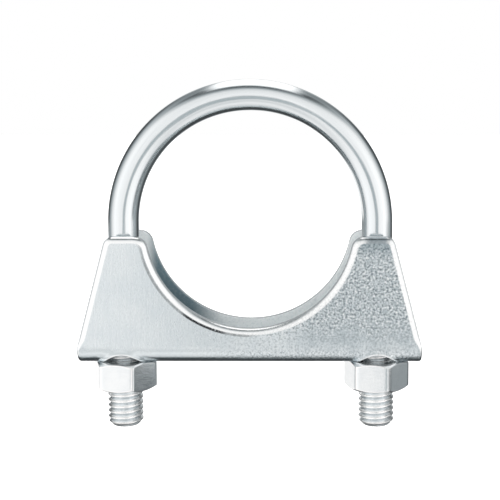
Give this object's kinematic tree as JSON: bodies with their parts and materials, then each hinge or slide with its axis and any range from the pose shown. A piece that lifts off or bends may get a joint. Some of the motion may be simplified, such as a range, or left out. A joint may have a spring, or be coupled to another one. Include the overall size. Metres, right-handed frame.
{
  "type": "exhaust clamp",
  "caption": "U-bolt pipe clamp: a bent rod with threaded legs passes through a folded sheet saddle and is tightened by hexagon nuts underneath.",
  "frame": {"origin": "on the pipe's axis, at the centre of the saddle's pipe arc, half-way between its flanges", "axes": "+Y along the pipe, +Z towards the crown of the U-bolt, +X from the left leg to the right leg"},
  "size_m": [0.076, 0.0142, 0.0777],
  "materials": {
    "zinc_rod": "bright zinc-plated steel rod",
    "zinc_sheet": "zinc-plated pressed steel sheet, satin with a fine grain",
    "zinc_nut": "smooth zinc-plated steel"
  },
  "bodies": {
    "u_bolt": {"u_bolt": "zinc_rod"},
    "saddle": {"saddle": "zinc_sheet"},
    "nut_left": {"nut_left": "zinc_nut"},
    "nut_right": {"nut_right": "zinc_nut"}
  },
  "joints": [
    {"name": "saddle_slide", "type": "slide", "parent": "u_bolt", "child": "saddle", "axis": [0, 0, 1], "range_m": [-0.0085, 0.013]},
    {"name": "nut_left_turn", "type": "hinge", "parent": "saddle", "child": "nut_left", "pos_m": [-0.0283, 0, -0.03425], "axis": [0, 0, 1], "range_deg": [-2448.1, 3744.1]},
    {"name": "nut_right_turn", "type": "hinge", "parent": "saddle", "child": "nut_right", "pos_m": [0.0283, 0, -0.03425], "axis": [0, 0, 1], "range_deg": [-2448.1, 3744.1]}
  ],
  "couplings": [
    {"joint": "nut_left_turn", "follows": "saddle_slide", "rad_per_m": 5026.5},
    {"joint": "nut_right_turn", "follows": "saddle_slide", "rad_per_m": 5026.5}
  ]
}
